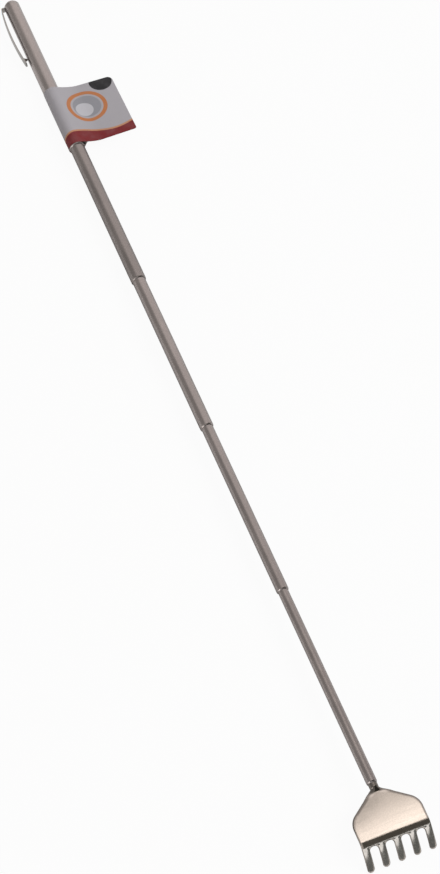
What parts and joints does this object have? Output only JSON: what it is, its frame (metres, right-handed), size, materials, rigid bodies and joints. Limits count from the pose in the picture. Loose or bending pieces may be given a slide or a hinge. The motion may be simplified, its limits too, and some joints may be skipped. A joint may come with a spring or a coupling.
{
  "type": "telescopic back scratcher",
  "caption": "Pocket back scratcher: steel tubes that slide into one another, a stamped bear claw with bent fingers, a domed end with a pocket clip, and a paper flag label.",
  "frame": {"origin": "on the pole's axis at the handle's butt, on the plane where the cap's dome begins", "axes": "+X along the pole towards the claw, +Z out of the claw's flat back, so it lies with its fingers down"},
  "size_m": [0.5482, 0.0511, 0.0134],
  "materials": {
    "tube_steel": "satin drawn tube",
    "claw_steel": "polished stamping",
    "clip_steel": "polished strip",
    "spring_brass": "rolled strip",
    "paper": "uncoated"
  },
  "bodies": {
    "handle": {"handle_tube": "tube_steel", "end_cap": "tube_steel", "pocket_clip": "clip_steel", "paper_label": "paper"},
    "second_shoes": {"second_upper_shoe": "spring_brass", "second_lower_shoe": "spring_brass"},
    "second_section": {"second_tube": "tube_steel"},
    "third_shoes": {"third_upper_shoe": "spring_brass", "third_lower_shoe": "spring_brass"},
    "third_section": {"third_tube": "tube_steel"},
    "fourth_shoes": {"fourth_upper_shoe": "spring_brass", "fourth_lower_shoe": "spring_brass"},
    "fourth_section": {"fourth_tube": "tube_steel"},
    "fifth_shoes": {"fifth_upper_shoe": "spring_brass", "fifth_lower_shoe": "spring_brass"},
    "fifth_section": {"fifth_tube": "tube_steel", "claw": "claw_steel"}
  },
  "joints": [
    {"name": "second_slide", "type": "slide", "parent": "handle", "child": "second_shoes", "axis": [-1, 0, 0], "range_m": [0, 0.0955]},
    {"name": "second_turn", "type": "hinge", "parent": "second_shoes", "child": "second_section", "pos_m": [0, 0, 0], "axis": [1, 0, 0], "continuous": true},
    {"name": "third_slide", "type": "slide", "parent": "second_section", "child": "third_shoes", "axis": [-1, 0, 0], "range_m": [0, 0.0955]},
    {"name": "third_turn", "type": "hinge", "parent": "third_shoes", "child": "third_section", "pos_m": [0, 0, 0], "axis": [1, 0, 0], "continuous": true},
    {"name": "fourth_slide", "type": "slide", "parent": "third_section", "child": "fourth_shoes", "axis": [-1, 0, 0], "range_m": [0, 0.0955]},
    {"name": "fourth_turn", "type": "hinge", "parent": "fourth_shoes", "child": "fourth_section", "pos_m": [0, 0, 0], "axis": [1, 0, 0], "continuous": true},
    {"name": "fifth_slide", "type": "slide", "parent": "fourth_section", "child": "fifth_shoes", "axis": [-1, 0, 0], "range_m": [0, 0.0955]},
    {"name": "fifth_turn", "type": "hinge", "parent": "fifth_shoes", "child": "fifth_section", "pos_m": [0, 0, 0], "axis": [1, 0, 0], "continuous": true}
  ]
}
